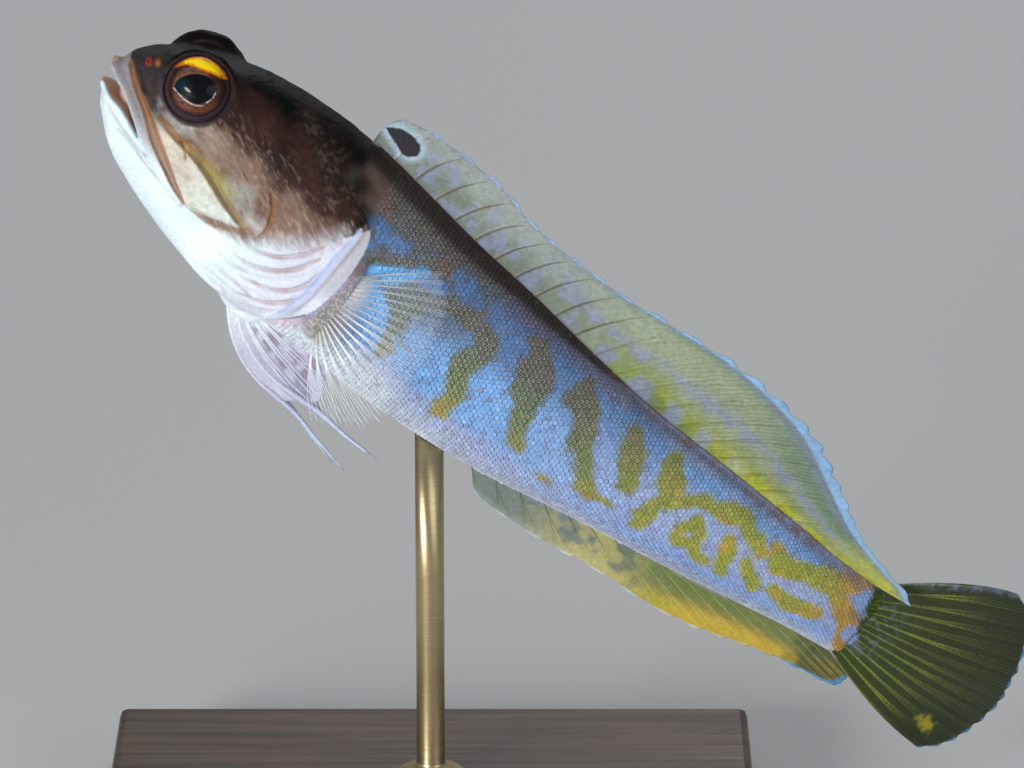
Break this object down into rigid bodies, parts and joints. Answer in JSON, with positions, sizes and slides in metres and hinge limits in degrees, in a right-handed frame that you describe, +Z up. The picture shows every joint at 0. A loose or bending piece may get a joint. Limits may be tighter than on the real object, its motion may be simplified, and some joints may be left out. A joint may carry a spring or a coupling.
{
  "type": "jawfish on a display stand",
  "caption": "Still life-size jawfish, head up with a curved tail and spread fins, held over a flat base by one short rod",
  "frame": {"origin": "middle of the stand's underside, which rests on the floor", "axes": "+Z up, +X from the head towards the tail, +Y to the fish's right"},
  "size_m": [0.0921, 0.04, 0.0821],
  "materials": {
    "skin": "moist brown head skin with a fine pale net",
    "pale_skin": "moist white to pale blue jaw skin",
    "blue_skin": "small scales, sky blue with olive and mustard bars",
    "fin_membrane": "olive to yellow fin membrane with blue edges",
    "clear_fin": "clear membrane with pale rays",
    "pelvic_membrane": "pale lilac rays with mottled membrane",
    "eye": "glossy copper iris with a gold crescent",
    "stand_wood": "dark satin wood",
    "stand_metal": "brushed brass"
  },
  "bodies": {
    "root": {"head": "skin", "lower_jaw": "pale_skin", "throat": "pale_skin", "gill_cover_left": "skin", "gill_cover_right": "skin", "maxilla_left": "pale_skin", "maxilla_right": "pale_skin", "eye_left": "eye", "eye_right": "eye", "trunk": "blue_skin", "tail": "blue_skin", "dorsal_fin": "fin_membrane", "anal_fin": "fin_membrane", "caudal_fin": "fin_membrane", "pectoral_fin_left": "clear_fin", "pectoral_fin_right": "clear_fin", "pelvic_fin_left": "pelvic_membrane", "pelvic_fin_right": "pelvic_membrane", "stand_base": "stand_wood", "stand_rod": "stand_metal"}
  },
  "joints": []
}
